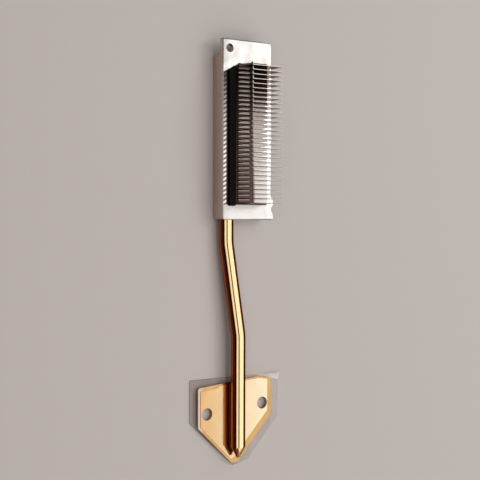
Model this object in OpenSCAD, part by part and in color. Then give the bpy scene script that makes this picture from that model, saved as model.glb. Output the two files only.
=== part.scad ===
// Heat-pipe heatsink: a stack of thin aluminium fins on a small aluminium block,
// joined by a round copper heat pipe to a pointed copper cold plate.
// X runs across the block, Y along the pipe towards the fins, Z up. Millimetres.
// The underside of the block and of the film lies on Z = 0.

/* [Fin stack] */
// Number of fins in the stack
fin_count = 31; // [4:1:50]
// Distance from one fin to the next
fin_pitch = 1.83; // [1.2:0.01:3]
// Sheet thickness of a fin
fin_t = 0.3; // [0.15:0.01:0.5]
// Width of a fin across the block
fin_w = 14.2; // [8:0.1:30]
// Height of a fin above the block
fin_h = 10.3; // [4:0.1:30]
// Inside radius of the bend between a fin and its foot
fin_bend_r = 0.2; // [0.1:0.05:0.4]
// Height of the spacer hook at a fin's upper left corner
hook_h = 1.2; // [0.6:0.1:3]
// Reach of the spacer hook towards the next fin
hook_reach = 0.95; // [0.5:0.05:1.1]

/* [Base block] */
// Bare top of the block left of the fins, above the pipe
left_margin = 7.5; // [6.5:0.1:14]
// Bare top of the block right of the fins
right_margin = 2; // [0.5:0.1:10]
// Bare top between the pipe end of the block and the first fin
front_margin = 6.5; // [2:0.1:20]
// Bare top between the last fin and the far end of the thick block
back_margin = 4.4; // [2.5:0.1:20]
// Thickness of the block above the heat pipe
roof_t = 1.05; // [0.6:0.05:4]
// Wall of the block left of the pipe groove
groove_wall = 1.4; // [0.6:0.1:2.4]
// Height of the pipe's lowest line above the underside of the block
pipe_recess = 0.1; // [0:0.05:0.5]
// Rounding of the upright corners at the pipe end of the block
front_corner_r = 1.3; // [0.3:0.1:2]
// Bevel along the upper edges of the block
edge_bevel = 0.4; // [0.1:0.05:0.6]

/* [Screw ears] */
// Length of the thin ear past the far end of the block
ear_l = 6.6; // [6.4:0.1:15]
// Thickness of both ears
ear_t = 1.8; // [0.8:0.1:4]
// Rounding of the right corner of the long ear
ear_corner_r = 1.3; // [0.3:0.1:3]
// Radius of the screw hole in the long ear
ear_hole_r = 1.75; // [1:0.05:2.3]
// Screw hole's centre from the left side of the block
ear_hole_x = 3.45; // [3.2:0.05:12]
// Screw hole's centre from the end of the long ear
ear_hole_inset = 3.7; // [3:0.1:4]
// Reach of the narrow side ear past the right side of the block
side_ear_w = 1.2; // [0.8:0.1:3]
// Length of the side ear along the block
side_ear_l = 9.8; // [9.4:0.1:20]
// Length of the side ear's sloping shoulder
side_ear_slope = 1.5; // [0.2:0.1:3]
// Radius of the half hole in the side ear
notch_r = 2; // [1:0.1:2.4]
// Depth of the half hole in the side ear
notch_depth = 0.95; // [0.3:0.05:1]
// Centre of the half hole from the pipe end of the block
notch_y = 4.25; // [3:0.05:6]

/* [Heat pipe] */
// Outer diameter of the heat pipe
pipe_d = 6; // [4:0.1:7]
// Solder gap round the pipe in its groove and saddle
pipe_fit = 0.05; // [0.02:0.01:0.1]
// Bare groove past the pipe's hidden end
groove_end_gap = 0.5; // [0.2:0.1:2]
// Block left solid past the pipe groove
groove_end_wall = 4; // [2:0.1:15]
// Straight pipe between the block and the first bend's corner
pipe_lead = 9.1; // [4:0.1:30]
// Length along Y between the corners of the two bends
pipe_run = 37.9; // [20:0.1:120]
// Straight pipe between the second bend's corner and the cold plate
pipe_tail = 18.25; // [6:0.05:60]
// Sideways shift of the pipe between block and cold plate
pipe_shift = 4.95; // [1:0.05:15]
// Bend radius at the pipe's axis
pipe_bend_r = 25; // [15:1:40]
// Length of the pipe's crimped point
pipe_tip_l = 4.3; // [2:0.1:8]
// Radius at the very end of the crimped point
pipe_tip_r = 0.6; // [0.3:0.1:1.2]
// Depth of the flats pressed into the crimped point
pipe_flat_depth = 0.35; // [0.1:0.05:0.5]
// Cold plate left bare past the pipe's point
pipe_tip_margin = 2.7; // [1:0.1:8]

/* [Cold plate] */
// Thickness of the copper plate's border
plate_t = 1.5; // [1:0.1:4]
// Width of the copper plate
plate_w = 36.2; // [32:0.1:60]
// Length of the copper plate from its upper edge's highest point to its lower point
plate_l = 34.6; // [32:0.1:60]
// Offset of the plate's middle from the pipe
plate_shift = 0.75; // [-1:0.05:1]
// Drop of the plate's upper edge towards its left corner
plate_drop_left = 2.6; // [0:0.1:5]
// Drop of the plate's upper edge towards its right corner
plate_drop_right = 1.1; // [0:0.1:3]
// Distance of the upper edge's highest point from the right side
plate_peak_inset = 7; // [3:0.1:12]
// Length of the plate's left side
plate_side_left = 16.2; // [14:0.1:18]
// Length of the plate's right side
plate_side_right = 15.2; // [14:0.1:18]
// Width of the plate's blunt point
plate_point_w = 2.6; // [1:0.1:5]
// Offset of the blunt point from the pipe
plate_point_shift = 0.2; // [-1:0.05:1]
// Rounding of the plate's corners
plate_corner_r = 1.2; // [0.2:0.1:2]
// Height of the raised middle face above the border
pad_h = 0.2; // [0.1:0.05:0.6]
// Border left of the raised face
pad_left = 1.1; // [0.8:0.05:2]
// Border right of the raised face
pad_right = 2.1; // [0.8:0.05:2.4]
// Border along the raised face's upper edge
pad_top = 0.7; // [0.4:0.05:1.1]
// Border along the raised face's lower left edge
pad_low_left = 0.9; // [0.7:0.05:3]
// Border at the raised face's blunt point
pad_point = 1.95; // [1.8:0.05:3]
// Border along the raised face's lower right edge
pad_low_right = 2.7; // [0.8:0.05:3]
// Border along the raised face's lower shoulder at the upper left
pad_shoulder = 1.5; // [1.4:0.05:2.4]
// Length of that shoulder with its slope
pad_shoulder_l = 9; // [6:0.1:12]
// Length of the slope at the shoulder's end
pad_shoulder_run = 1.7; // [1.5:0.1:3]
// Depth of the shallow saddle that the pipe is soldered into
saddle_depth = 0.2; // [0.1:0.05:0.6]
// Radius of the two screw holes
plate_hole_r = 2.5; // [1.5:0.05:2.8]
// Distance between the two screw holes
plate_hole_span = 27.34; // [24:0.02:28.4]
// Turn of the line through the two screw holes
plate_hole_turn = 4.6; // [-8:0.1:8]
// Offset of the middle between the screw holes from the pipe
plate_hole_shift = 0.45; // [-1:0.05:1]
// Middle between the screw holes from the plate's highest edge point
plate_hole_drop = 12.3; // [11:0.05:14]

/* [Foam strip] */
// Width of the foam strip
foam_w = 3; // [1.5:0.1:4.4]
// Height of the foam strip
foam_h = 1; // [0.5:0.1:5]
// Foam strip's left side from the left side of the block
foam_x = 2.9; // [1:0.1:3]
// How far the foam strip starts before the first fin
foam_lead = 0.9; // [0:0.1:2]
// How far the strip's right side reaches past the last fin
foam_tail = 0.4; // [0:0.1:2]
// Slant of the strip's cut end
foam_slant = 1.9; // [0:0.1:4]

/* [Protective film] */
// Thickness of the clear film under the cold plate
film_t = 0.2; // [0.1:0.05:0.5]
// Film past the plate's left side
film_left = 3.3; // [2.8:0.1:10]
// Film past the plate's right side
film_right = 4.6; // [2:0.1:12]
// Film past the plate's highest edge point
film_top = 0.7; // [0.3:0.1:8]
// Film past the plate's point
film_bottom = 1.6; // [1.4:0.1:6]
// Length of the film's left side
film_side_left = 17.4; // [17:0.1:24]
// Length of the film's right side
film_side_right = 18.3; // [14:0.1:24]
// Width of the film's blunt point
film_point_w = 7.7; // [4:0.1:10]
// Rise of the film's blunt point to the right
film_point_rise = 1.9; // [0:0.1:3]
// Film removed round each screw hole
film_hole_gap = 0.1; // [0.05:0.05:0.5]

/* [Hidden] */
$fn = 48;
// Overshoot of cutting bodies past the faces they cut
CUT = 0.5;
// Swelling of the pipe at its bends, and how far the straights run into them
BEND_SWELL = 0.01;
BEND_LAP = 0.2;
// Straight steps in a rounded plate or film corner
CORNER_STEPS = 5;
// Number of flats on the pipe's crimped point
FLATS = 6;
// First fin number that is written with two digits
TWO_DIGITS = 10;

stack_l = (fin_count - 1) * fin_pitch;
block_w = left_margin + fin_w + right_margin;
block_l = front_margin + stack_l + fin_t + back_margin;
block_h = pipe_recess + pipe_d + pipe_fit + roof_t;

pipe_r = pipe_d / 2;
pipe_in_x = groove_wall + pipe_fit + pipe_r;
pipe_in_z = pipe_recess + pipe_r;
pipe_in_l = block_l - groove_end_wall - groove_end_gap;
pipe_out_x = pipe_in_x + pipe_shift;
pipe_out_z = film_t + plate_t + pad_h - saddle_depth + pipe_r;
pipe_rise = pipe_out_z - pipe_in_z;
// The pipe lies in one plane, tipped about Y by this angle
pipe_plane_tip = atan2(pipe_rise, pipe_shift);
pipe_side = norm([pipe_shift, pipe_rise]);
pipe_turn = atan2(pipe_side, pipe_run);
bend_reach = pipe_bend_r * tan(pipe_turn / 2);

plate_y = -(pipe_lead + pipe_run + pipe_tail);
plate_mid_x = pipe_out_x + plate_shift;
plate_left_x = plate_mid_x - plate_w / 2;
plate_right_x = plate_mid_x + plate_w / 2;
plate_point_y = plate_y - plate_l;
plate_point_x = pipe_out_x + plate_point_shift;
plate_hole_mid = [pipe_out_x + plate_hole_shift, plate_y - plate_hole_drop];
plate_points = [
    [plate_left_x, plate_y - plate_drop_left],
    [plate_left_x, plate_y - plate_drop_left - plate_side_left],
    [plate_point_x - plate_point_w / 2, plate_point_y],
    [plate_point_x + plate_point_w / 2, plate_point_y],
    [plate_right_x, plate_y - plate_drop_right - plate_side_right],
    [plate_right_x, plate_y - plate_drop_right],
    [plate_right_x - plate_peak_inset, plate_y]
];
pipe_tip_y = plate_point_y + pipe_tip_margin;

film_point_x = pipe_out_x + plate_hole_shift;
film_x0 = plate_left_x - film_left;
film_x1 = plate_right_x + film_right;
film_y0 = plate_point_y - film_bottom;
film_y1 = plate_y + film_top;

// The origin is the middle of the whole heatsink's outline, at its underside
outline_x = (film_x0 + max(film_x1, block_w + side_ear_w)) / 2;
outline_y = (film_y0 + block_l + ear_l) / 2;

function fin_name(i) = str("fin_", i < TWO_DIGITS ? "0" : "", i);

// Points of an arc of radius r that rounds the corner b between a and c
function corner(a, b, c, r) =
    let (
        u = (a - b) / norm(a - b),
        v = (c - b) / norm(c - b),
        half = acos(u * v) / 2,
        middle = b + (u + v) / norm(u + v) * r / sin(half),
        start = b + u * r / tan(half) - middle,
        stop = b + v * r / tan(half) - middle,
        from = atan2(start.y, start.x),
        swing = (atan2(stop.y, stop.x) - from + 540) % 360 - 180
    )
    [for (k = [0:CORNER_STEPS]) middle + r * [cos(from + swing * k / CORNER_STEPS),
                                              sin(from + swing * k / CORNER_STEPS)]];

// The outline moved inwards, each edge by its own distance
function inset(points, gaps) =
    let (n = len(points))
    [for (i = [0:n - 1]) inset_corner(points[(i + n - 1) % n], points[i], points[(i + 1) % n],
                                      gaps[(i + n - 1) % n], gaps[i])];

// The corner b between a and c, moved in from the edge before it and the edge after it
function inset_corner(a, b, c, before, after) =
    let (
        u = (a - b) / norm(a - b),
        v = (c - b) / norm(c - b),
        sine = abs(u.x * v.y - u.y * v.x)
    )
    b + (u * after + v * before) / sine;

// The outline through the given points with every corner rounded
function rounded(points, r) =
    let (n = len(points))
    [for (i = [0:n - 1]) each corner(points[(i + n - 1) % n], points[i], points[(i + 1) % n], r)];

// Plan of the thick block, its corner over the pipe rounded
module block_plan() {
    polygon(concat(
        corner([0, block_l], [0, 0], [block_w, 0], front_corner_r),
        [[block_w, 0], [block_w, block_l], [0, block_l]]
    ));
}

// Plan of the upper sheet: the block's top with the long ear, and the side ear on its right
module top_plan() {
    whole_l = block_l + ear_l;
    side_x = block_w + side_ear_w;
    difference() {
        polygon(concat(
            corner([0, whole_l], [0, 0], [block_w, 0], front_corner_r),
            [[side_x, 0], [side_x, side_ear_l - side_ear_slope], [block_w, side_ear_l]],
            corner([block_w, 0], [block_w, whole_l], [0, whole_l], ear_corner_r),
            [[0, whole_l]]
        ));
        translate([ear_hole_x, whole_l - ear_hole_inset]) circle(ear_hole_r);
        translate([side_x + notch_r - notch_depth, notch_y]) circle(notch_r);
    }
}

// Bar that bevels an upper edge running along X from the origin
module bevel_bar(l) {
    rotate([45, 0, 0])
        translate([-CUT, -2 * edge_bevel, -edge_bevel / sqrt(2)])
            cube([l + 2 * CUT, 4 * edge_bevel, 2 * edge_bevel]);
}

module edge_bevels() {
    whole_l = block_l + ear_l;
    translate([0, 0, block_h]) bevel_bar(block_w + side_ear_w);
    translate([block_w, whole_l, block_h]) rotate([0, 0, 180]) bevel_bar(block_w);
    translate([0, whole_l, block_h]) rotate([0, 0, -90]) bevel_bar(whole_l);
}

// Groove in the underside, round above and open below, with the pipe's rounded end
module pipe_groove() {
    groove_r = pipe_r + pipe_fit;
    translate([pipe_in_x, -CUT, pipe_in_z])
        rotate([-90, 0, 0])
            cylinder(r = groove_r, h = CUT + pipe_in_l + groove_end_gap);
    translate([pipe_in_x - groove_r, -CUT, -CUT])
        cube([2 * groove_r, CUT + pipe_in_l + groove_end_gap, pipe_in_z + CUT]);
}

module base_block() {
    color("gainsboro")
        difference() {
            union() {
                linear_extrude(block_h) block_plan();
                translate([0, 0, block_h - ear_t]) linear_extrude(ear_t) top_plan();
            }
            translate([ear_hole_x, block_l + ear_l - ear_hole_inset, -CUT])
                cylinder(r = ear_hole_r, h = block_h + 2 * CUT);
            pipe_groove();
            edge_bevels();
        }
}

// Crimped point of the pipe: a cone with flats, its wide end at the origin, along +Z
module pipe_point() {
    slope = atan2(pipe_r - pipe_tip_r, pipe_tip_l);
    difference() {
        cylinder(r1 = pipe_r, r2 = pipe_tip_r, h = pipe_tip_l);
        for (k = [0:FLATS - 1])
            rotate([0, 0, k * 360 / FLATS])
                translate([pipe_r, 0, 0])
                    rotate([0, -slope, 0])
                        translate([-pipe_flat_depth, -pipe_r, 0])
                            cube([pipe_r, pipe_d, 2 * pipe_tip_l]);
    }
}

// A bend of the pipe about the origin, starting on +X and turning towards +Y
module pipe_bend() {
    rotate_extrude(angle = pipe_turn) translate([pipe_bend_r, 0]) circle(pipe_r + BEND_SWELL);
}

// Straight length of pipe from the origin down -Y, its ends let into its neighbours
module pipe_straight(l) {
    translate([0, BEND_LAP, 0]) rotate([90, 0, 0]) cylinder(r = pipe_r, h = l + 2 * BEND_LAP);
}

module heat_pipe() {
    hidden_y = pipe_in_l - pipe_r;
    first_y = -(pipe_lead - bend_reach);
    last_y = -(pipe_lead + pipe_run + bend_reach);
    point_y = pipe_tip_y + pipe_tip_l;
    color("chocolate")
        translate([pipe_in_x, 0, pipe_in_z])
            rotate([0, -pipe_plane_tip, 0])
                union() {
                    translate([0, hidden_y, 0]) sphere(pipe_r);
                    translate([0, hidden_y - BEND_LAP, 0])
                        pipe_straight(hidden_y - BEND_LAP - first_y);
                    translate([pipe_bend_r, first_y, 0]) rotate([0, 0, 180]) pipe_bend();
                    translate([pipe_bend_r * (1 - cos(pipe_turn)),
                               first_y - pipe_bend_r * sin(pipe_turn), 0])
                        rotate([0, 0, pipe_turn])
                            pipe_straight(pipe_run / cos(pipe_turn) - 2 * bend_reach);
                    translate([pipe_side - pipe_bend_r, last_y, 0]) pipe_bend();
                    translate([pipe_side, last_y, 0]) pipe_straight(last_y - point_y - BEND_LAP);
                    translate([pipe_side, point_y, 0]) rotate([90, 0, 0]) pipe_point();
                }
}

module plate_holes(gap, h) {
    for (side = [-1, 1])
        translate([plate_hole_mid.x + side * plate_hole_span / 2 * cos(plate_hole_turn),
                   plate_hole_mid.y + side * plate_hole_span / 2 * sin(plate_hole_turn), -CUT])
            cylinder(r = plate_hole_r + gap, h = h + 2 * CUT);
}

// Outline of the raised face: its upper left shoulder keeps a wider border, then slopes up
module pad_outline() {
    sides = [pad_left, pad_low_left, pad_point, pad_low_right, pad_right, pad_top];
    high = inset(plate_points, concat(sides, [pad_top]));
    low = inset(plate_points, concat(sides, [pad_shoulder]));
    along = (high[6] - high[0]) / norm(high[6] - high[0]);
    polygon(rounded(concat(
        [low[0]],
        [for (i = [1:6]) high[i]],
        [high[0] + along * pad_shoulder_l, low[0] + along * (pad_shoulder_l - pad_shoulder_run)]
    ), plate_corner_r / 2));
}

module cold_plate() {
    color("sandybrown")
        difference() {
            union() {
                translate([0, 0, film_t])
                    linear_extrude(plate_t) polygon(rounded(plate_points, plate_corner_r));
                translate([0, 0, film_t]) linear_extrude(plate_t + pad_h) pad_outline();
            }
            plate_holes(0, film_t + plate_t + pad_h);
            translate([pipe_out_x, plate_y + CUT, pipe_out_z])
                rotate([90, 0, 0])
                    cylinder(r = pipe_r + pipe_fit, h = plate_y - pipe_tip_y - pipe_tip_l + CUT);
        }
}

module foam_strip() {
    y0 = front_margin - foam_lead;
    y1 = front_margin + stack_l + fin_t + foam_tail;
    color("black")
        translate([foam_x, 0, block_h])
            linear_extrude(foam_h)
                polygon([[0, y0], [foam_w, y0], [foam_w, y1], [0, y1 - foam_slant]]);
}

module protective_film() {
    outline = rounded([
        [film_x0, film_y1],
        [film_x0, film_y1 - film_side_left],
        [film_point_x, film_y0],
        [film_point_x + film_point_w, film_y0 + film_point_rise],
        [film_x1, film_y1 - film_side_right],
        [film_x1, film_y1]
    ], edge_bevel);
    color("lightcyan", 0.4)
        difference() {
            linear_extrude(film_t) polygon(outline);
            plate_holes(film_hole_gap, film_t);
        }
}

// Fin section in Y and Z: an upright sheet that bends into a foot on the block
module fin_section() {
    outer_r = fin_bend_r + fin_t;
    translate([0, outer_r]) square([fin_t, fin_h - outer_r]);
    translate([outer_r, 0]) square([fin_pitch - outer_r, fin_t]);
    intersection() {
        square(outer_r);
        translate([outer_r, outer_r])
            difference() {
                circle(outer_r);
                circle(fin_bend_r);
            }
    }
}

module fin(i) {
    color("whitesmoke")
        translate([left_margin, front_margin + (i - 1) * fin_pitch, block_h]) {
            rotate([90, 0, 90]) linear_extrude(fin_w) fin_section();
            translate([0, 0, fin_h - hook_h]) cube([fin_t, fin_t + hook_reach, hook_h]);
        }
}

// Moves a piece from the block's lower left corner to the middle of the outline
module centred() {
    translate([-outline_x, -outline_y, 0]) children();
}

centred() base_block();
centred() heat_pipe();
centred() cold_plate();
centred() foam_strip();
centred() protective_film();
for (i = [1:fin_count])
    centred() fin(i);
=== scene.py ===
"""Copper heatsink with a heat pipe, a fin stack and a pointed cold plate, dressed for rendering.

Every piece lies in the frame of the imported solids, in metres: X across the block, Y along the
pipe towards the fins, Z up from the surface that the heatsink lies on.
"""
import math

import bmesh
import bpy
import numpy as np
from bpy.props import FloatProperty, FloatVectorProperty, PointerProperty
from mathutils import Matrix, Vector


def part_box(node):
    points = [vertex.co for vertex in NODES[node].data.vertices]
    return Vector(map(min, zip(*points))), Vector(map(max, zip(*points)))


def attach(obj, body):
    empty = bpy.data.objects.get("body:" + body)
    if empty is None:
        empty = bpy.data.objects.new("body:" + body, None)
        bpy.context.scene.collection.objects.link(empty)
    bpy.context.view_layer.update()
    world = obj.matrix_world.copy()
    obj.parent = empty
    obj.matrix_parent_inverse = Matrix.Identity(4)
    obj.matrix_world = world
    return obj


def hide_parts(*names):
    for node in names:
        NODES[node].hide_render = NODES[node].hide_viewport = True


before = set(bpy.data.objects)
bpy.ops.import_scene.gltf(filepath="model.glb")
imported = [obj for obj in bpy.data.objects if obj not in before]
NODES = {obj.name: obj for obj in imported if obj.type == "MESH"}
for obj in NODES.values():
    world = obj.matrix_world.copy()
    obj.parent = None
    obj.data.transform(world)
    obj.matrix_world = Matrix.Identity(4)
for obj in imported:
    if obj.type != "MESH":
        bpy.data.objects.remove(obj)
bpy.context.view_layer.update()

bl_info = {
    "name": "Copper heatsink",
    "version": (1, 0, 0),
    "blender": (4, 2, 0),
    "location": "3D View > Sidebar > Heatsink",
    "description": "Builds the surfaces, finishes, floor and lights of a heat-pipe heatsink",
    "category": "Object",
}

MM = 0.001

BLOCK_LOW, BLOCK_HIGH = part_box("base_block")
PLATE_LOW, PLATE_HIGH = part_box("cold_plate")
PIPE_LOW, PIPE_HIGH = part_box("heat_pipe")
STRIP_LOW, STRIP_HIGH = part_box("foam_strip")
FIN_NAMES = sorted(name for name in NODES if name.startswith("fin_"))

# The row of fins along the block
FIRST_FIN_Y = 20.875 * MM
FIN_PITCH = 1.83 * MM
LAST_FIN_Y = FIRST_FIN_Y + (len(FIN_NAMES) - 1) * FIN_PITCH


def radians(*degrees):
    """Several angles in degrees, turned into radians."""
    return tuple(math.radians(degree) for degree in degrees)


# Properties


def length(name, text, default):
    """A property that holds a length in metres."""
    return FloatProperty(name=name, description=text, default=default, unit="LENGTH",
                         precision=5, min=0.0)


def angle(name, text, degrees):
    """A property that holds an angle, given in degrees and kept in radians."""
    return FloatProperty(name=name, description=text, default=math.radians(degrees),
                         subtype="ANGLE")


def share(name, text, default):
    """A property that holds a plain number from 0 to 1."""
    return FloatProperty(name=name, description=text, default=default, min=0.0, max=1.0,
                         subtype="FACTOR")


def colour(name, text, default):
    """A property that holds a linear colour."""
    return FloatVectorProperty(name=name, description=text, default=default, size=3,
                               min=0.0, max=1.0, subtype="COLOR")


class HeatsinkBlockSettings(bpy.types.PropertyGroup):
    """Sizes and finish of the aluminium block."""

    edge_round: length("Edge rounding", "Softening of the block's edges", 0.12 * MM)
    # Painted shade: the far end is darker than the near end.
    tint: colour("Colour", "Colour of the aluminium at the far end", (0.28, 0.275, 0.267))
    # Painted shade: the left side takes the brown of the shaded floor that it reflects.
    side_shade_tint: colour("Side colour", "Colour of the block's long side away from the fins",
                      (0.59, 0.48, 0.43))
    near_tint: colour("Near colour", "Colour of the aluminium at the pipe's end",
                      (0.585, 0.578, 0.565))
    # Painted shadow of the fins on the block's top, near black far from the pipe's end.
    fin_shadow_tint: colour("Stain colour", "Colour of the dark stain beside the fins",
                       (0.004, 0.003, 0.003))
    near_fin_shadow_tint: colour("Near stain colour", "Colour of that stain at the pipe's end",
                            (0.05, 0.035, 0.03))
    roughness: share("Roughness", "Roughness of the satin metal", 0.3)


class HeatsinkFinSettings(bpy.types.PropertyGroup):
    """Finish of the fin sheets."""

    # Painted shade: the upright faces are dark brown for the shade between the fins.
    tint: colour("Colour", "Colour of the upright faces", (0.24, 0.18, 0.16))
    edge_tint: colour("Edge colour", "Colour of the cut top edges", (0.26, 0.24, 0.22))
    # Painted light: the colour of the lit feet, also painted as their reflection in the faces.
    lit_foot_tint: colour("Foot colour", "Colour of the feet where they are bright", (1.0, 0.97, 0.93))
    # Painted shade: the colour of the feet deep in the stack and of the top edges' shaded corner.
    deep_shade_tint: colour("Deep colour", "Colour of the feet deep in the stack", (0.03, 0.02, 0.016))
    roughness: share("Roughness", "Roughness of the rolled sheet", 0.14)
    edge_roughness: share("Edge roughness", "Roughness of the cut top edges", 0.35)


class HeatsinkPipeSettings(bpy.types.PropertyGroup):
    """Sizes and finish of the round heat pipe."""

    radius: length("Radius", "Outer radius of the pipe", 3.0 * MM)
    bend_radius: length("Bend radius", "Radius of both bends at the pipe's axis", 25.0 * MM)
    tip_length: length("Point length", "Length of the crimped point", 4.3 * MM)
    tip_radius: length("Point radius", "Radius at the end of the crimped point", 0.6 * MM)
    tint: colour("Colour", "Colour of the polished copper", (0.97, 0.73, 0.40))
    # Painted shade: the flanks are dark for the dim room and shaded floor that they reflect.
    shaded_flank_tint: colour("Flank colour", "Colour of the tarnished flanks", (0.10, 0.025, 0.014))
    # Painted reflection: the skirts take the brown of the floor that they reflect.
    skirt_reflection_tint: colour("Skirt colour", "Colour of the lowest part of the sides", (0.62, 0.22, 0.10))
    point_tint: colour("Point colour", "Colour of the crimped point", (0.85, 0.30, 0.16))
    roughness: share("Roughness", "Roughness of the drawn tube", 0.12)
    point_roughness: share("Point roughness", "Roughness of the crimped point", 0.4)


class HeatsinkPlateSettings(bpy.types.PropertyGroup):
    """Sizes and finish of the copper cold plate."""

    edge_round: length("Edge rounding", "Softening of the plate's edges", 0.18 * MM)
    tint: colour("Colour", "Colour of the polished pad at its left", (0.62, 0.385, 0.165))
    # Painted light: the pad is paler to its right.
    right_light_tint: colour("Right colour", "Colour of the polished pad at its right",
                       (0.80, 0.71, 0.51))
    rim_tint: colour("Rim colour", "Colour of the border round the pad", (0.52, 0.335, 0.14))
    # Painted light: the border is paler at its left.
    left_rim_light_tint: colour("Left rim colour", "Colour of that border at its left",
                          (0.56, 0.44, 0.37))
    # Painted shade: the step round the pad is dark brown.
    step_shade_tint: colour("Step colour", "Colour of the step round the pad", (0.34, 0.14, 0.06))
    roughness: share("Roughness", "Roughness of the polished face", 0.16)


class HeatsinkStripSettings(bpy.types.PropertyGroup):
    """Sizes and finish of the black foam strip."""

    edge_round: length("Edge rounding", "Softening of the strip's long edges", 0.3 * MM)
    tint: colour("Colour", "Colour of the foam", (0.006, 0.005, 0.005))
    roughness: share("Roughness", "Roughness of the foam", 0.85)


class HeatsinkFilmSettings(bpy.types.PropertyGroup):
    """Sizes and finish of the clear film under the plate."""

    curl_height: length("Curl height", "Rise of the curled corner", 1.6 * MM)
    rim_width: length("Rim width", "Width of the cloudy band along the cut", 0.3 * MM)
    tint: colour("Colour", "Colour of the clear film at its lit right", (0.8, 0.74, 0.7))
    shade_tint: colour("Shade colour", "Colour of the film at its shaded left", (0.28, 0.21, 0.16))
    # Painted reflection: the curled corner is paler, as it catches the light.
    flap_highlight_tint: colour("Curl colour", "Colour of the curled corner", (0.92, 0.88, 0.86))
    roughness: share("Roughness", "Roughness of the film", 0.1)
    opacity: share("Opacity", "How much the film hides", 0.16)
    rim_opacity: share("Rim opacity", "How much the band along the cut hides", 0.5)
    flap_opacity: share("Curl opacity", "How much the curled corner hides", 0.6)


class HeatsinkStageSettings(bpy.types.PropertyGroup):
    """Floor, lights and camera."""

    floor_tint: colour("Floor colour", "Colour of the plain floor", (0.53, 0.506, 0.497))
    lens: FloatProperty(name="Lens", description="Focal length of the camera in millimetres",
                        default=79.16, min=10.0, subtype="DISTANCE_CAMERA")
    distance: length("Distance", "From the camera to the point it looks at", 436.38 * MM)
    lean: angle("Lean", "Camera's turn from straight above towards the left", 34.33)
    pitch: angle("Pitch", "Camera's turn towards the picture's top", -1.09)
    roll: angle("Roll", "Camera's turn round its own axis", 0.13)


SETTINGS = {
    "heatsink_block": HeatsinkBlockSettings,
    "heatsink_fins": HeatsinkFinSettings,
    "heatsink_pipe": HeatsinkPipeSettings,
    "heatsink_plate": HeatsinkPlateSettings,
    "heatsink_strip": HeatsinkStripSettings,
    "heatsink_film": HeatsinkFilmSettings,
    "heatsink_stage": HeatsinkStageSettings,
}


# Meshes


def new_object(name, mesh):
    """Links an object that holds the mesh, at the origin and unturned."""
    thing = bpy.data.objects.new(name, mesh)
    bpy.context.scene.collection.objects.link(thing)
    return thing


def shade(mesh, smooth):
    """Marks every face smooth or flat."""
    mesh.polygons.foreach_set("use_smooth", np.full(len(mesh.polygons), smooth))


def tube_mesh(name, rings):
    """A closed, smooth skin over rings of points: quads join the rings and a fan closes each end.

    rings has the shape (rings, points, 3). Point j of ring i joins point j of ring i + 1. Faces
    point outwards where a ring runs anticlockwise for one who looks back from ring i + 1.
    """
    count, around = rings.shape[:2]
    spots = rings.reshape(-1, 3)
    i, j = np.meshgrid(np.arange(count - 1), np.arange(around), indexing="ij")
    k = (j + 1) % around
    quads = np.stack([i * around + j, i * around + k, (i + 1) * around + k,
                      (i + 1) * around + j], -1).reshape(-1, 4)
    first, last = len(spots), len(spots) + 1
    spots = np.vstack([spots, rings[0].mean(0), rings[-1].mean(0)])
    here = np.arange(around)
    after = (here + 1) % around
    base = (count - 1) * around
    fans = [np.stack([after, here, np.full(around, first)], -1),
            np.stack([base + here, base + after, np.full(around, last)], -1)]
    mesh = bpy.data.meshes.new(name)
    mesh.from_pydata(spots.tolist(), [], quads.tolist() + fans[0].tolist() + fans[1].tolist())
    mesh.validate()
    shade(mesh, True)
    return mesh


# Vertices nearer than this are one, and edges that bend less than this are left out
DOUBLES = 1e-6
FLAT_BEND = math.radians(1.0)

# Larger faces than this are flat ones; edges are sharp from the first bend in degrees, and
# rounded from the second
LARGEST_CURVED = 15.0 * MM * MM
CREASE_BEND = 12.0
ROUNDED_BEND = 40.0
BEVEL_SEGMENTS = 3


def solid_shape(name, node):
    """A bare copy of a solid's mesh, and its bmesh with doubles and flat seams merged."""
    mesh = NODES[node].data.copy()
    mesh.name = name
    mesh.materials.clear()
    shape = bmesh.new()
    shape.from_mesh(mesh)
    bmesh.ops.remove_doubles(shape, verts=shape.verts, dist=DOUBLES)
    bmesh.ops.dissolve_limit(shape, angle_limit=FLAT_BEND, verts=shape.verts, edges=shape.edges)
    return mesh, shape


def softened_copy(name, node, width):
    """A copy of a solid's surface with its sharp edges rounded."""
    mesh, shape = solid_shape(name, node)
    for face in shape.faces:
        face.smooth = face.calc_area() < LARGEST_CURVED
    for edge in shape.edges:
        bend = math.degrees(edge.calc_face_angle(0.0))
        edge.smooth = not CREASE_BEND < bend < ROUNDED_BEND
    shape.to_mesh(mesh)
    shape.free()
    thing = new_object(name, mesh)
    bevel = thing.modifiers.new("Rounded edges", "BEVEL")
    bevel.width = width
    bevel.segments = BEVEL_SEGMENTS
    bevel.limit_method = "ANGLE"
    bevel.angle_limit = math.radians(ROUNDED_BEND)
    bevel.harden_normals = True
    return thing


# The pipe's centre line: how far its bends' corners lie from the block's end, and the X and Z of
# its first and last stretch
FIRST_CORNER = 9.1 * MM
SECOND_CORNER = 47.0 * MM
HIDDEN_AXIS = Vector((-6.35 * MM, 3.1 * MM))
PLATE_AXIS = Vector((-1.4 * MM, 4.7 * MM))

# The pipe's points in a ring, the rings of its dome from its foot at that angle to its top, those
# of its body and of its point, and how fast and how far the point turns six-sided
AROUND = 192
DOME_FROM = 0.02
DOME_RINGS = 24
BODY_RINGS = 420
TIP_RINGS = 28
PINCH_POWER = 0.7
PINCH_SHARE = 0.9


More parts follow.
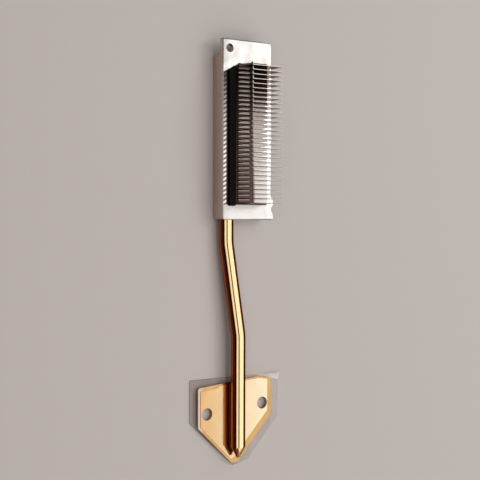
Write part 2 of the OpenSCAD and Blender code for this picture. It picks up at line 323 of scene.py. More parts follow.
def pipe_rings(radius, bend_radius, tip_length, tip_radius):
    """Rings round the pipe's centre line, from the hidden dome to the crimped point.

    The centre line is straight, then bent, straight, bent back and straight, all in one plane:
    its sideways place is the corner path with each corner replaced by an arc of bend_radius.
    Each ring is a circle across the line. Its radius follows a half circle at the dome, and at
    the point it shrinks evenly while the circle turns into a rounded hexagon.
    """
    side = (PLATE_AXIS - HIDDEN_AXIS).length
    across = (PLATE_AXIS - HIDDEN_AXIS) / side
    normal = Vector((-across.y, across.x))
    run = SECOND_CORNER - FIRST_CORNER
    turn = math.atan2(side, run)
    reach = bend_radius * math.tan(turn / 2)
    start, stop = PIPE_HIGH.y, PIPE_LOW.y

    dome = start - radius * (1 - np.sin(np.linspace(math.pi / 2, DOME_FROM, DOME_RINGS)))
    dome_r = radius * np.sqrt(np.maximum(0.0, 1 - ((dome - (start - radius)) / radius) ** 2))
    body = np.linspace(start - radius, stop + tip_length, BODY_RINGS)[1:]
    taper = np.linspace(0, 1, TIP_RINGS)[1:]
    tip = stop + tip_length * (1 - taper)
    y = np.concatenate([dome, body, tip])
    r = np.concatenate([dome_r, np.full(len(body), radius),
                        radius + (tip_radius - radius) * taper])
    pinch = np.concatenate([np.zeros(len(dome) + len(body)), taper])

    t = BLOCK_LOW.y - FIRST_CORNER - y
    off = np.where(t < -reach, 0.0, np.where(t > run + reach, side, t * math.tan(turn)))
    heading = np.where(t < -reach, 0.0, np.where(t > run + reach, 0.0, turn))
    inner = reach * math.cos(turn)
    for into, base, sign in ((t + reach, 0.0, 1), (run + reach - t, side, -1)):
        here = (into > 0) & (into < reach + inner)
        swing = np.arcsin(np.clip(into / bend_radius, 0, 1))
        off = np.where(here, base + sign * bend_radius * (1 - np.cos(swing)), off)
        heading = np.where(here, swing, heading)

    a = np.linspace(0, 2 * math.pi, AROUND, endpoint=False)
    hexagon = math.cos(math.pi / 6) / np.cos((a + math.pi / 6) % (math.pi / 3) - math.pi / 6)
    form = 1 - pinch[:, None] ** PINCH_POWER * (1 - hexagon) * PINCH_SHARE
    u = r[:, None] * form * np.cos(a)
    w = r[:, None] * form * np.sin(a)
    along = off[:, None] + u * np.cos(heading)[:, None]
    x = HIDDEN_AXIS.x + along * across.x + w * normal.x
    z = HIDDEN_AXIS.y + along * across.y + w * normal.y
    return np.stack([x, y[:, None] + u * np.sin(heading)[:, None], z], -1)


# The strip's points in a section, where its sections lie in percent of its length, how much sooner
# its left side ends, and the share of its length where that slant starts
STRIP_AROUND = 64
STRIP_POWER = 7
STRIP_ENDS = np.array([0, 0.15, 0.5, 1.0])
STRIP_MIDDLE = np.linspace(2, 98, 120)
STRIP_SLANT = 1.9 * MM
STRIP_EASE = 0.9


def strip_rings(edge_round):
    """One section carried along the strip.

    The section is a superellipse of STRIP_POWER over the strip's width and height. Within one
    percent of each end it shrinks by up to edge_round, and the far end is cut at a slant: the
    left side ends first.
    """
    low, high = np.array(STRIP_LOW), np.array(STRIP_HIGH)
    a = np.linspace(2 * math.pi, 0, STRIP_AROUND, endpoint=False)
    power = 2 / STRIP_POWER
    sx = np.sign(np.cos(a)) * np.abs(np.cos(a)) ** power
    sz = np.sign(np.sin(a)) * np.abs(np.sin(a)) ** power
    half = (high - low) / 2
    middle = (high + low) / 2
    s = np.concatenate([STRIP_ENDS, STRIP_MIDDLE, 100 - STRIP_ENDS[::-1]]) / 100
    inset = edge_round * (1 - np.minimum(1, np.minimum(s, 1 - s) * 100) ** 0.5)
    x = middle[0] + (half[0] - inset[:, None]) * sx
    z = middle[2] + (half[2] - inset[:, None]) * sz
    ease = np.clip((s - STRIP_EASE) / (1 - STRIP_EASE), 0, 1)[:, None]
    y = low[1] + s[:, None] * (high[1] - low[1]) - ease * STRIP_SLANT * (1 - sx) / 2
    return np.stack([x, y, z], -1)


# The line that the film's curled corner starts from, how many cuts bend it, how near to a vertex
# a cut goes through it, and how the corner rises
CURL_FROM = Vector((9.5 * MM, -50.175 * MM, 0.0))
CURL_TO = Vector((22.05 * MM, -53.2 * MM, 0.0))
CURL_CUTS = 12
CUT_SNAP = 1e-7
CURL_POWER = 1.6

# A face whose normal rises more than this looks up
UPWARDS = 0.5


def curled_film(name, height, rim_width):
    """The film's solid, cut across its corner by lines parallel to the curl's start and bent up.

    Beyond that line a point at the distance d rises by height * (d / reach) ** CURL_POWER, where
    reach is the distance of the farthest point. The attribute rim is 1 on the band round the
    outline and the holes, and the attribute flap is 1 on the curled corner.
    """
    mesh, shape = solid_shape(name, "protective_film")
    rim = shape.faces.layers.float.new("rim")
    top = [face for face in shape.faces if face.normal.z > UPWARDS]
    band = bmesh.ops.inset_region(shape, faces=top, thickness=rim_width,
                                  use_even_offset=True)["faces"]
    for face in shape.faces:
        face[rim] = 1.0 if abs(face.normal.z) < UPWARDS else 0.0
    for face in band:
        face[rim] = 1.0
    along = (CURL_TO - CURL_FROM).normalized()
    out = Vector((-along.y, along.x, 0.0))
    reach = max((vert.co - CURL_FROM).dot(out) for vert in shape.verts)
    for step in range(CURL_CUTS):
        bmesh.ops.bisect_plane(shape, geom=shape.verts[:] + shape.edges[:] + shape.faces[:],
                               dist=CUT_SNAP, plane_no=out,
                               plane_co=CURL_FROM + out * reach * step / CURL_CUTS)
    flap = shape.faces.layers.float.new("flap")
    for face in shape.faces:
        face[flap] = 1.0 if (face.calc_center_median() - CURL_FROM).dot(out) > 0 else 0.0
    for vert in shape.verts:
        beyond = max(0.0, (vert.co - CURL_FROM).dot(out))
        vert.co.z += height * (beyond / reach) ** CURL_POWER
    shape.to_mesh(mesh)
    shape.free()
    shade(mesh, False)
    return mesh


# Materials


BLACK = (0.0, 0.0, 0.0)
WHITE = (1.0, 1.0, 1.0)

# Nearly all of a noise lies between these values
NOISE_RANGE = (0.3, 0.7)


def scaled(tint, factor):
    """The colour times a factor, kept within 0 and 1."""
    return tuple(min(1.0, max(0.0, part * factor)) for part in tint)


class Finish:
    """A material under construction: a Principled shader and the nodes that feed it."""

    def __init__(self, name, tint, metallic, roughness):
        self.material = bpy.data.materials.new(name)
        self.material.use_nodes = True
        self.tree = self.material.node_tree
        self.shader = self.tree.nodes["Principled BSDF"]
        self.set("Base Color", (*tint, 1.0))
        self.set("Metallic", metallic)
        self.set("Roughness", roughness)
        self.place = self.tree.nodes.new("ShaderNodeTexCoord").outputs["Object"]

    def set(self, socket, value):
        """Gives one input of the shader a plain value."""
        self.shader.inputs[socket].default_value = value

    def feed(self, socket, source):
        """Links a value to one input of the shader."""
        self.tree.links.new(source, self.shader.inputs[socket])

    def node(self, kind, inputs, **settings):
        """A new node with its own settings, and with inputs that are sockets or plain values."""
        made = self.tree.nodes.new(kind)
        for key, value in settings.items():
            setattr(made, key, value)
        for key, value in inputs.items():
            if isinstance(value, bpy.types.NodeSocket):
                self.tree.links.new(value, made.inputs[key])
            else:
                made.inputs[key].default_value = value
        return made

    def noise(self, scale, detail, turn=0.0):
        """Noise from 0 to 1 whose cells measure one over scale in metres along each axis.

        The cells may be turned round Z.
        """
        mapping = self.node("ShaderNodeMapping", {"Vector": self.place, "Scale": scale,
                                                  "Rotation": (0.0, 0.0, turn)})
        made = self.node("ShaderNodeTexNoise", {"Vector": mapping.outputs["Vector"], "Scale": 1.0,
                                                "Detail": detail})
        return made.outputs["Fac"]

    def span(self, source, low, high, out_low=0.0, out_high=1.0):
        """Maps a value from one range to another, and keeps it there."""
        made = self.node("ShaderNodeMapRange", {"Value": source, "From Min": low, "From Max": high,
                                                "To Min": out_low, "To Max": out_high})
        return made.outputs["Result"]

    def blend(self, factor, first, second):
        """A colour between two others, each a socket or a plain colour."""
        first, second = (tint if isinstance(tint, bpy.types.NodeSocket) else (*tint, 1.0)
                         for tint in (first, second))
        made = self.node("ShaderNodeMix", {"Factor": factor, "A": first, "B": second},
                         data_type="RGBA")
        return made.outputs["Result"]

    def varied(self, factor, tint, low, high):
        """One colour whose strength runs from low to high times its own."""
        return self.blend(factor, scaled(tint, low), scaled(tint, high))

    def uneven(self, noise, value, low, high):
        """A number that a noise moves between low and high times itself."""
        return self.span(noise, *NOISE_RANGE, value * low, value * high)

    def maths(self, operation, *values):
        """One step of arithmetic on sockets or plain numbers."""
        made = self.node("ShaderNodeMath", dict(enumerate(values)), operation=operation)
        return made.outputs["Value"]

    def times(self, product, *factors):
        """The product of several sockets or plain numbers."""
        for factor in factors:
            product = self.maths("MULTIPLY", product, factor)
        return product

    def within(self, value, low, high, soft):
        """1 where the value lies between low and high, with soft edges, and 0 elsewhere."""
        return self.times(self.span(value, low - soft, low + soft),
                          self.span(value, high - soft, high + soft, 1.0, 0.0))

    def parts(self, vector):
        """The three parts of a vector."""
        split = self.node("ShaderNodeSeparateXYZ", {"Vector": vector})
        return [split.outputs[axis] for axis in "XYZ"]

    def spot(self):
        """The three object coordinates."""
        return self.parts(self.place)

    def facing(self):
        """The direction that the surface faces, in the object's own frame."""
        return self.parts(self.place.node.outputs["Normal"])

    def attribute(self, name):
        """A number that the mesh keeps for every face."""
        return self.node("ShaderNodeAttribute", {}, attribute_name=name).outputs["Fac"]

    def bump(self, source, depth, strength):
        """Dents of the given depth in metres."""
        made = self.node("ShaderNodeBump", {"Height": source, "Distance": depth,
                                            "Strength": strength})
        self.feed("Normal", made.outputs["Normal"])


# The fins' painted shadow on the block's top: its ragged far edge as points and slopes, and its
# sides
DARK_SHORE = ((-4.25 * MM, 76.9 * MM, 0.53), (-3.3 * MM, 77.3 * MM, 0.15))
DARK_FAR = 78.3 * MM
DARK_LEFT = -10.45 * MM
DARK_RIGHT = 10.9 * MM
DARK_NEAR_Y = (20.3 * MM, 20.6 * MM)
DARK_SOFT = 0.15 * MM
DARK_SIDE_SOFT = 0.1 * MM
TOP_FACING = (0.8, 0.95)

# The pale dashes of painted light in it, where light passes between the fins: a point on the first,
# their slope, the part of a pitch that they fill, how faint they are between, where they end on the
# right, and how they grow towards the pipe's end
DASH_X = -9.9 * MM
DASH_PHASE = 0.145
DASH_SLOPE = 0.55
DASH_STEP = (0.2, 0.8, 0.08)
DASH_FAINT = 0.1
DASH_RIGHT_X = (-9.2 * MM, -8.9 * MM)
DASH_FADE_Y = (78.0 * MM, 40.0 * MM)
DASH_POWER = 1.3
DASH_STRENGTH = 0.85

# Where the bare block changes colour: painted shade along its left edge, painted light in the
# margin right of the fins, and painted shade on its left side
BORDER_X = (BLOCK_LOW.x, BLOCK_LOW.x + 3.5 * MM)
BORDER_Y = (LAST_FIN_Y - 1.5 * MM, LAST_FIN_Y + 2.0 * MM)
MARGIN_X = (DARK_RIGHT, DARK_RIGHT + 0.3 * MM)
MARGIN_Y = (LAST_FIN_Y + 0.5 * MM, LAST_FIN_Y + 1.5 * MM)
SIDE_FACING = (-0.9, -0.6)


def satin_aluminium(name, own):
    """Machined aluminium: fine lines across the block and soft cloudy patches in the gloss.

    The bare top carries painted shade that darkens it away from the pipe's end and along its left
    edge, and on its left side painted shade stands for the shaded floor that the side reflects; the
    margin right of the fins is paler with painted light. Beside and under the fins the top carries
    their painted shadow, and pale slanting dashes of painted light, where light passes between the
    fins, cross that shadow on the left, one a fin.
    """
    made = Finish(name, own.tint, 1.0, own.roughness)
    lines = made.noise((60.0, 2500.0, 2500.0), 4.0)
    clouds = made.noise((260.0, 160.0, 260.0), 3.0)
    across, along, _ = made.spot()
    sideways, _, upwards = made.facing()

    # Painted shade: the bare top darkens away from the pipe's end.
    bare = made.blend(made.span(along, BLOCK_LOW.y, BLOCK_HIGH.y),
                      made.varied(clouds, own.near_tint, 0.96, 1.04),
                      made.varied(clouds, own.tint, 0.94, 1.05))
    # Painted shade along the left edge of the top.
    dimmed = made.blend(made.span(along, *BORDER_Y), scaled(own.near_tint, 0.8),
                        scaled(own.tint, 0.68))
    bare = made.blend(made.span(across, *BORDER_X), dimmed, bare)
    # Painted light in the margin right of the fins.
    margin = made.times(made.span(across, *MARGIN_X), made.span(along, *MARGIN_Y, 1.0, 0.0))
    bare = made.blend(margin, bare, made.varied(made.span(along, FIRST_FIN_Y, LAST_FIN_Y),
                                                own.near_tint, 1.06, 1.64))
    # Painted shade on the left side, for the shaded floor that it reflects.
    bare = made.blend(made.span(sideways, *SIDE_FACING, 1.0, 0.0), bare,
                      made.varied(clouds, own.side_shade_tint, 0.96, 1.04))

    shore = DARK_FAR
    for x, y, slope in DARK_SHORE:
        shore = made.maths("MINIMUM", made.maths("MULTIPLY_ADD", across, slope, y - slope * x),
                           shore)
    past = made.maths("SUBTRACT", along, shore)
    # Painted shadow of the fins beside and under them.
    dark = made.times(made.span(past, -DARK_SOFT, DARK_SOFT, 1.0, 0.0),
                      made.within(across, DARK_LEFT, DARK_RIGHT, DARK_SIDE_SOFT),
                      made.span(along, *DARK_NEAR_Y), made.span(upwards, *TOP_FACING))

    # Dashes of painted light, where light passes between the fins.
    slid = made.maths("MULTIPLY_ADD", across, -DASH_SLOPE, DASH_SLOPE * DASH_X - FIRST_FIN_Y)
    step = made.maths("FRACT", made.maths("MULTIPLY_ADD", made.maths("ADD", along, slid),
                                          1 / FIN_PITCH, DASH_PHASE))
    grown = made.maths("POWER", made.span(along, *DASH_FADE_Y), DASH_POWER)
    dash = made.times(made.span(made.within(step, *DASH_STEP), 0.0, 1.0, DASH_FAINT, 1.0),
                      made.span(across, *DASH_RIGHT_X, 1.0, 0.0), grown, DASH_STRENGTH)
    fin_shadowed = made.blend(dash, made.blend(grown, own.fin_shadow_tint, own.near_fin_shadow_tint),
                         made.varied(clouds, own.near_tint, 1.5, 1.65))

    made.feed("Base Color", made.blend(dark, bare, fin_shadowed))
    made.feed("Roughness", made.uneven(clouds, own.roughness, 0.85, 1.2))
    made.bump(lines, 0.003 * MM, 0.6)
    return made.material


# Where the fins' colours, mostly painted light and shade, change in height, along and across the
# block, and in the way they face
EDGE_FACING = (0.55, 0.8)
FOOT_TOP_Z = (8.0 * MM, 8.5 * MM)
BASE_FADE_Z = (8.2 * MM, 8.8 * MM)
FOOT_FADE_Y = (74.0 * MM, 46.0 * MM)
FACE_FADE_Y = (72.0 * MM, 36.0 * MM)
CORNER_X = (1.0 * MM, 5.5 * MM)

# The left ends of the feet in painted light: across, before the last fin, and in parts of a pitch
LEFT_END_X = (1.6 * MM, 2.6 * MM)
LEFT_END_Y = (LAST_FIN_Y - 0.2 * MM, LAST_FIN_Y)
LEFT_END_STEP = (0.80, 0.96, 0.05)

# Their right ends in painted light: across, how far that slides left near the pipe, and how they
# widen
RIGHT_END_X = (2.8 * MM, 4.2 * MM)
RIGHT_SLIDE_Y = (46.0 * MM, 26.0 * MM)
RIGHT_SLIDE = -1.0 * MM
RIGHT_STEP = 0.98
RIGHT_POWER = 2.0
RIGHT_GROWTH = 1.1
RIGHT_SOFT = 0.12

# Painted shade in the gloss of the faces far from the pipe's end: the tint of what they reflect,
# where the others reflect everything
FAR_FACE_SHADE = (0.4, 0.32, 0.29)


def rolled_sheet(name, own):
    """Thin rolled sheet: glossy brown faces, bright cut edges, feet that darken away from the ends.

    Upright faces, top edges and feet are told apart by the way they face and by their height.
    The brown of the faces is painted shade; they are brighter towards the pipe's end, and far from
    it their base carries a painted reflection of the lit feet, and their gloss a painted shade. The
    feet carry painted light at their left end and, towards the pipe's end, at their right end, and
    painted shade elsewhere, deep in the stack; the top edges turn to painted shade at their left
    towards the pipe's end.
    """
    made = Finish(name, own.tint, 1.0, own.roughness)
    lines = made.noise((1500.0, 1500.0, 90.0), 3.0)
    across, along, height = made.spot()
    upward = made.span(made.facing()[2], *EDGE_FACING)
    above = made.span(height, *FOOT_TOP_Z)
    near = made.span(along, *FOOT_FADE_Y)
    grown = made.span(along, *FACE_FADE_Y)
    step = made.maths("FRACT", made.maths("MULTIPLY_ADD", along, 1 / FIN_PITCH,
                                          -FIRST_FIN_Y / FIN_PITCH))

    # Painted light at the feet's left and right ends, painted shade on the rest of the feet.
    inside = made.times(made.span(across, *LEFT_END_X, 1.0, 0.0),
                        made.span(along, *LEFT_END_Y, 1.0, 0.0))
    left_end = made.times(inside, made.within(step, *LEFT_END_STEP))
    slid = made.maths("ADD", across, made.span(along, *RIGHT_SLIDE_Y, 0.0, RIGHT_SLIDE))
    widened = made.maths("MULTIPLY_ADD", made.maths("POWER", near, RIGHT_POWER), RIGHT_GROWTH,
                         made.maths("SUBTRACT", step, RIGHT_STEP))
    right_end = made.times(made.span(slid, *RIGHT_END_X), made.span(widened, 0.0, RIGHT_SOFT))
    foot = made.blend(left_end, made.varied(near, own.deep_shade_tint, 1.0, 3.0),
                      made.varied(grown, own.lit_foot_tint, 1.0, 0.32))
    foot = made.blend(right_end, foot, made.varied(near, own.lit_foot_tint, 1.0, 0.59))

    # Painted shade on the top edges at their left towards the pipe's end.
    corner = made.times(made.span(across, *CORNER_X, 1.0, 0.0), grown)
    flat = made.blend(above, foot, made.blend(corner, own.edge_tint, own.deep_shade_tint))
    # Painted reflection of the lit feet at the base of the faces far from the pipe's end.
    distant = made.maths("SUBTRACT", 1.0, grown)
    base = made.times(inside, made.span(height, *BASE_FADE_Z, 1.0, 0.0), distant)
    # Painted shade: the faces darker far from the pipe's end.
    upright = made.blend(grown, made.varied(lines, own.tint, 0.35, 0.55),
                         made.varied(lines, own.tint, 0.65, 1.05))
    upright = made.blend(base, upright, own.lit_foot_tint)

    made.feed("Base Color", made.blend(upward, upright, flat))
    made.feed("Specular Tint", made.blend(made.maths("MAXIMUM", base, grown), FAR_FACE_SHADE, WHITE))
    cut = made.times(upward, made.maths("MAXIMUM", above, distant), own.edge_roughness)
    made.feed("Roughness", made.maths("MAXIMUM", made.uneven(lines, own.roughness, 0.9, 1.2), cut))
    made.bump(made.noise((300.0, 300.0, 120.0), 2.0), 0.03 * MM, 0.5)
    return made.material


# Where the pipe's colour turns into the point's, towards the near end
POINT_FADE_Y = (-79.8 * MM, -81.2 * MM)

# How far the surface is turned from straight up, to the right, where the pipe's crown turns into
# its flanks, where these turn into its skirts, and where the left skirt ends
CROWN_LEFT = radians(-44, -52)
CROWN_RIGHT = radians(12, 24)
SKIRT_LEFT = radians(-78, -90)
SKIRT_LEFT_END = radians(-122, -112)
SKIRT_RIGHT = radians(44, 70)


def drawn_copper(name, own):
    """Copper tube: bright along its crown, with painted shade down its flanks and drawing lines.

    The colour follows the turn of the surface away from straight up: crown, flank, then skirt. The
    dark flanks are painted shade and the brown skirts a painted reflection of the floor.
    """
    made = Finish(name, own.tint, 1.0, own.roughness)
    lines = made.noise((1200.0, 40.0, 1200.0), 4.0)
    waves = made.noise((260.0, 90.0, 260.0), 2.0)
    along = made.spot()[1]
    sideways, _, upwards = made.facing()
    turned = made.maths("ARCTAN2", sideways, upwards)
    aside = made.maths("MAXIMUM", made.span(turned, *CROWN_LEFT), made.span(turned, *CROWN_RIGHT))
    low_left = made.times(made.span(turned, *SKIRT_LEFT), made.span(turned, *SKIRT_LEFT_END))
    low = made.maths("MAXIMUM", low_left, made.span(turned, *SKIRT_RIGHT))
    crown = made.blend(made.span(along, *POINT_FADE_Y), made.varied(waves, own.tint, 0.93, 1.05),
                       own.point_tint)
    # Painted shade on the flanks and a painted reflection of the floor on the skirts.
    sides = made.blend(low, made.varied(waves, own.shaded_flank_tint, 0.7, 1.3),
                       made.varied(waves, own.skirt_reflection_tint, 0.85, 1.15))
    made.feed("Base Color", made.blend(aside, crown, sides))
    # Painted reflection: the gloss of the sides is tinted with the skirt's colour.
    made.feed("Specular Tint", made.blend(aside, WHITE, scaled(own.skirt_reflection_tint, 1.2)))
    dull = made.span(along, *POINT_FADE_Y, 0.0, own.point_roughness)
    made.feed("Roughness", made.maths("MAXIMUM", made.uneven(lines, own.roughness, 0.8, 1.25),
                                      dull))
    made.bump(waves, 0.05 * MM, 0.5)
    return made.material


# The heights over the floor where the plate's rim turns into its step, and the step into its pad
RIM_FADE_Z = (1.704 * MM, 1.712 * MM)
PAD_FADE_Z = (1.888 * MM, 1.896 * MM)

# The part of the plate's width in which the left rim's painted light ends
LEFT_RIM = (0.02, 0.08)


def polished_copper(name, own):
    """Polished copper plate: golden pad, paler to the right, a brown step and an orange rim.

    Pad, step and rim follow the height above the floor; the shift from left to right follows X.
    The paler right of the pad and left of the rim are painted light, and the brown step is painted
    shade.
    """
    made = Finish(name, own.tint, 1.0, own.roughness)
    clouds = made.noise((170.0, 120.0, 170.0), 3.0)
    wipes = made.noise((900.0, 130.0, 900.0), 3.0, turn=0.3)
    place_x, _, height = made.spot()
    across = made.span(place_x, PLATE_LOW.x, PLATE_HIGH.x)
    # Painted light: the pad turns paler from left to right.
    pad = made.blend(across, made.varied(clouds, own.tint, 0.9, 1.1),
                     made.varied(clouds, own.right_light_tint, 0.94, 1.06))
    # Painted light: the border is paler at its left.
    rim = made.blend(made.span(across, *LEFT_RIM), own.left_rim_light_tint,
                     made.varied(clouds, own.rim_tint, 0.8, 1.2))
    # Painted shade on the step between rim and pad.
    low = made.blend(made.span(height, *RIM_FADE_Z), rim, own.step_shade_tint)
    made.feed("Base Color", made.blend(made.span(height, *PAD_FADE_Z), low, pad))
    made.feed("Roughness", made.uneven(wipes, own.roughness, 0.85, 1.2))
    made.bump(clouds, 0.02 * MM, 0.5)
    return made.material


# The foam's faint gloss, and its pores: how many to the metre, their depth, and the distances
# where their rims begin and end
FOAM_SPECULAR = 0.1
PORE_SCALE = 3600.0
PORE_DEPTH = 0.08 * MM
PORE_RIM = (0.2, 0.7)


def black_foam(name, own):
    """Matt black foam: open pores that dent the skin and show slightly paler rims."""
    made = Finish(name, own.tint, 0.0, own.roughness)
    made.set("Specular IOR Level", FOAM_SPECULAR)
    cells = made.node("ShaderNodeTexVoronoi", {"Vector": made.place, "Scale": PORE_SCALE},
                      feature="F1").outputs["Distance"]
    made.feed("Base Color", made.varied(made.span(cells, *PORE_RIM), own.tint, 0.5, 2.2))
    made.bump(cells, PORE_DEPTH, 0.7)
    return made.material


# Where the film turns from its shaded left to its lit right, and how much more it hides there
FILM_SHADE_X = (-12.0 * MM, 8.0 * MM)
FILM_VEIL = (0.03, 0.07)


def clear_film(name, own):
    """Clear plastic film: glossy, with faint waves and a cloudier band along its cut.

    It is darker and hides a little more towards the left, painted shade of the plate, and its
    curled corner is paler and cloudier, its paleness a painted reflection.
    """
    made = Finish(name, own.tint, 0.0, own.roughness)
    haze = made.noise((90.0, 70.0, 90.0), 2.0)
    flap = made.attribute("flap")
    shaded = made.span(made.spot()[0], *FILM_SHADE_X, 1.0, 0.0)
    veil = made.maths("ADD", made.uneven(haze, own.opacity, 0.7, 1.3),
                      made.span(shaded, 0.0, 1.0, *FILM_VEIL))
    for part, limit in ((flap, own.flap_opacity), (made.attribute("rim"), own.rim_opacity)):
        veil = made.span(part, 0.0, 1.0, veil, limit)
    made.feed("Alpha", veil)
    plain = made.blend(shaded, own.tint, own.shade_tint)
    # Painted reflection on the curled corner.
    made.feed("Base Color", made.blend(flap, plain, own.flap_highlight_tint))
    made.bump(haze, 0.15 * MM, 0.4)
    return made.material


# Stage


# Where the camera and the lights aim, the width of the camera's sensor in millimetres, and the
# nearest and the farthest that it sees
AIM = Vector((2.62 * MM, 6.035 * MM, 0.0))
SENSOR_WIDTH = 36.0
CLIP = (0.01, 20.0)

# The room's own light; half the floor's side, its roughness and its gloss; the colour that it
# turns into far away, and the distances between which it does
ROOM_TINT = (0.10, 0.065, 0.05)
FLOOR_HALF = 8.0
FLOOR_ROUGHNESS = 0.75
FLOOR_SPECULAR = 0.5
BACKDROP_TINT = (0.50, 0.457, 0.436)
BACKDROP_FROM = (0.3, 0.6)

# Name, direction in degrees (turn from +X towards +Y, height), distance, size, radiance, tint
LIGHTS = (
    ("key_window", (23, 48), 1.0, (0.24, 0.24), 7.0, (1.0, 0.98, 0.95)),
    ("right_panel", (0, 65), 0.9, (1.2, 2.6), 1.2, (1.0, 0.98, 0.96)),
    ("left_panel", (180, 49), 1.1, (0.55, 2.2), 1.0, (1.0, 0.94, 0.90)),
    ("front_panel", (-80, 18), 1.2, (1.2, 0.45), 0.9, (1.0, 0.95, 0.92)),
)


def lay_floor(tint):
    """A plain flat floor with a faint speckle.

    It is four squares that meet in the middle. Far from the heatsink it turns into an evenly pale
    backdrop that glows without a gloss. Only the camera, reflections and clear pieces see that
    glow, so it lights nothing else.
    """
    side = (-FLOOR_HALF, 0.0, FLOOR_HALF)
    spots = [(x, y, 0.0) for x in side for y in side]
    squares = [(k, k + 3, k + 4, k + 1) for k in (0, 1, 3, 4)]
    mesh = bpy.data.meshes.new("floor")
    mesh.from_pydata(spots, [], squares)
    made = Finish("plain floor", tint, 0.0, FLOOR_ROUGHNESS)
    speckle = made.noise((1400.0, 1400.0, 1400.0), 2.0)
    rays = made.node("ShaderNodeLightPath", {}).outputs
    seen = made.maths("MAXIMUM", rays["Is Camera Ray"],
                      made.maths("MAXIMUM", rays["Is Glossy Ray"], rays["Is Transmission Ray"]))
    reach = made.node("ShaderNodeVectorMath", {"Vector": made.place}, operation="LENGTH")
    far = made.times(seen, made.span(reach.outputs["Value"], *BACKDROP_FROM))
    made.feed("Base Color", made.blend(far, made.varied(speckle, tint, 0.96, 1.04), BLACK))
    made.feed("Emission Color", made.varied(speckle, BACKDROP_TINT, 0.96, 1.04))
    made.feed("Emission Strength", far)
    made.feed("Specular IOR Level", made.span(far, 0.0, 1.0, FLOOR_SPECULAR, 0.0))
    mesh.materials.append(made.material)
    new_object("floor", mesh)


def hang_light(name, towards, distance, size, radiance, tint):
    """An area light that faces the heatsink; its power is the radiance times pi times its area."""
    around, height = radians(*towards)
    data = bpy.data.lights.new(name, "AREA")
    data.shape = "RECTANGLE"
    data.size, data.size_y = size
    data.energy = radiance * math.pi * size[0] * size[1]
    data.color = tint
    thing = bpy.data.objects.new(name, data)
    bpy.context.scene.collection.objects.link(thing)
    back = Vector((math.cos(around) * math.cos(height), math.sin(around) * math.cos(height),
                   math.sin(height)))
    thing.matrix_world = placement(AIM + back * distance, back)


def placement(spot, back, roll=0.0):
    """The placement at spot whose own Z is back, and whose own Y leans towards the world's Y."""
    back = back.normalized()
    up = (Vector((0, 1, 0)) - back * back.y).normalized()
    right = up.cross(back)
    turned_right = right * math.cos(roll) + up * math.sin(roll)
    turned_up = up * math.cos(roll) - right * math.sin(roll)
    grid = Matrix((turned_right, turned_up, back)).transposed().to_4x4()
    grid.translation = spot
    return grid


def place_camera(own):
    """A camera above and left of the heatsink that looks down at it, as in the photograph."""
    data = bpy.data.cameras.new("camera")
    data.lens = own.lens
    data.sensor_width = SENSOR_WIDTH
    data.clip_start, data.clip_end = CLIP
    thing = bpy.data.objects.new("camera", data)
    bpy.context.scene.collection.objects.link(thing)
    back = Vector((-math.sin(own.lean) * math.cos(own.pitch), -math.sin(own.pitch),
                   math.cos(own.lean) * math.cos(own.pitch)))
    thing.matrix_world = placement(AIM + back * own.distance, back, own.roll)
    bpy.context.scene.camera = thing


# Operators


class PieceOperator:
    """What every operator shares: its undo flag and its settings, kept in the scene under key."""

    bl_options = {"REGISTER", "UNDO"}
    key = ""

    def settings(self, context):
        """The piece's own group of properties."""
        return getattr(context.scene, self.key)


class OBJECT_OT_heatsink_block(PieceOperator, bpy.types.Operator):
    """Rounds the block's edges and gives it a satin aluminium finish."""

    bl_idname = "object.heatsink_block"
    bl_label = "Aluminium block"
    key = "heatsink_block"

    def execute(self, context):
        own = self.settings(context)
        thing = softened_copy("block_skin", "base_block", own.edge_round)
        thing.data.materials.append(satin_aluminium("satin aluminium", own))
        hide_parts("base_block")
        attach(thing, "root")
        return {"FINISHED"}


class OBJECT_OT_heatsink_fins(PieceOperator, bpy.types.Operator):
    """Gives every fin the finish of thin rolled sheet."""

    bl_idname = "object.heatsink_fins"
    bl_label = "Fin stack"
    key = "heatsink_fins"

    def execute(self, context):
        own = self.settings(context)
        sheet = rolled_sheet("rolled aluminium sheet", own)
        for name in FIN_NAMES:
            mesh = NODES[name].data
            mesh.materials.clear()
            mesh.materials.append(sheet)
        return {"FINISHED"}


class OBJECT_OT_heatsink_pipe(PieceOperator, bpy.types.Operator):
    """Sweeps the round copper pipe with its two bends, hidden dome and crimped point."""

    bl_idname = "object.heatsink_pipe"
    bl_label = "Heat pipe"
    key = "heatsink_pipe"

    def execute(self, context):
        own = self.settings(context)
        rings = pipe_rings(own.radius, own.bend_radius, own.tip_length, own.tip_radius)
        mesh = tube_mesh("pipe_skin", rings)
        thing = new_object("pipe_skin", mesh)
        mesh.materials.append(drawn_copper("drawn copper", own))
        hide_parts("heat_pipe")
        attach(thing, "root")
        return {"FINISHED"}


class OBJECT_OT_heatsink_plate(PieceOperator, bpy.types.Operator):
    """Rounds the cold plate's edges and gives it a polished copper finish."""

    bl_idname = "object.heatsink_plate"
    bl_label = "Cold plate"
    key = "heatsink_plate"

    def execute(self, context):
        own = self.settings(context)
        thing = softened_copy("plate_skin", "cold_plate", own.edge_round)
        thing.data.materials.append(polished_copper("polished copper", own))
        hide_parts("cold_plate")
        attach(thing, "root")
        return {"FINISHED"}


class OBJECT_OT_heatsink_strip(PieceOperator, bpy.types.Operator):
    """Makes the soft black foam strip with rounded long edges and a slanted far end."""

    bl_idname = "object.heatsink_strip"
    bl_label = "Foam strip"
    key = "heatsink_strip"

    def execute(self, context):
        own = self.settings(context)
        mesh = tube_mesh("strip_skin", strip_rings(own.edge_round))
        thing = new_object("strip_skin", mesh)
        mesh.materials.append(black_foam("black foam", own))
        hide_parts("foam_strip")
        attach(thing, "root")
        return {"FINISHED"}


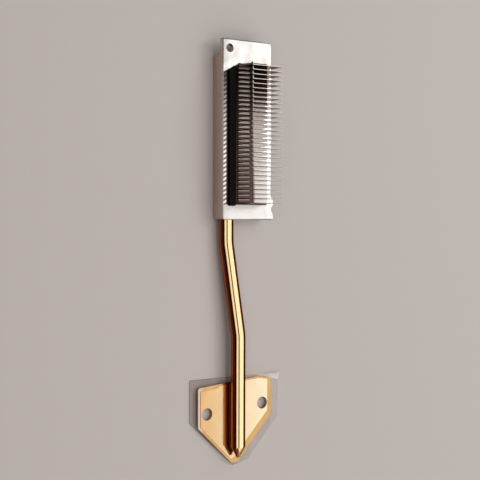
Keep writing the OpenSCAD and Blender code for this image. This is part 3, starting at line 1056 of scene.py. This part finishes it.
class OBJECT_OT_heatsink_film(PieceOperator, bpy.types.Operator):
    """Makes the clear film under the plate, its upper right corner curled up."""

    bl_idname = "object.heatsink_film"
    bl_label = "Protective film"
    key = "heatsink_film"

    def execute(self, context):
        own = self.settings(context)
        mesh = curled_film("film_skin", own.curl_height, own.rim_width)
        mesh.materials.append(clear_film("clear film", own))
        thing = new_object("film_skin", mesh)
        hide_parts("protective_film")
        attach(thing, "root")
        return {"FINISHED"}


class OBJECT_OT_heatsink_stage(PieceOperator, bpy.types.Operator):
    """Lays the plain floor, hangs the soft lights and sets the camera."""

    bl_idname = "object.heatsink_stage"
    bl_label = "Floor, lights and camera"
    key = "heatsink_stage"

    def execute(self, context):
        own = self.settings(context)
        lay_floor(own.floor_tint)
        for light in LIGHTS:
            hang_light(*light)
        world = bpy.data.worlds.new("studio")
        world.use_nodes = True
        world.node_tree.nodes["Background"].inputs["Color"].default_value = (*ROOM_TINT, 1.0)
        context.scene.world = world
        place_camera(own)
        context.scene.view_settings.view_transform = "Standard"
        return {"FINISHED"}


OPERATORS = (
    OBJECT_OT_heatsink_block,
    OBJECT_OT_heatsink_fins,
    OBJECT_OT_heatsink_pipe,
    OBJECT_OT_heatsink_plate,
    OBJECT_OT_heatsink_strip,
    OBJECT_OT_heatsink_film,
    OBJECT_OT_heatsink_stage,
)


class VIEW3D_PT_heatsink(bpy.types.Panel):
    """Lists the operators that build the heatsink, each with its settings."""

    bl_label = "Copper heatsink"
    bl_idname = "VIEW3D_PT_heatsink"
    bl_space_type = "VIEW_3D"
    bl_region_type = "UI"
    bl_category = "Heatsink"

    def draw(self, context):
        for operator in OPERATORS:
            own = getattr(context.scene, operator.key)
            box = self.layout.box()
            box.operator(operator.bl_idname)
            for name in own.__annotations__:
                box.prop(own, name)


def register():
    for group in SETTINGS.values():
        bpy.utils.register_class(group)
    for name, group in SETTINGS.items():
        setattr(bpy.types.Scene, name, PointerProperty(type=group))
    for operator in OPERATORS:
        bpy.utils.register_class(operator)
    bpy.utils.register_class(VIEW3D_PT_heatsink)


def unregister():
    bpy.utils.unregister_class(VIEW3D_PT_heatsink)
    for operator in reversed(OPERATORS):
        bpy.utils.unregister_class(operator)
    for name, group in SETTINGS.items():
        delattr(bpy.types.Scene, name)
        bpy.utils.unregister_class(group)


def main():
    """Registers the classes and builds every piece."""
    register()
    for operator in OPERATORS:
        getattr(bpy.ops.object, operator.key)()


if __name__ == "__main__":
    main()
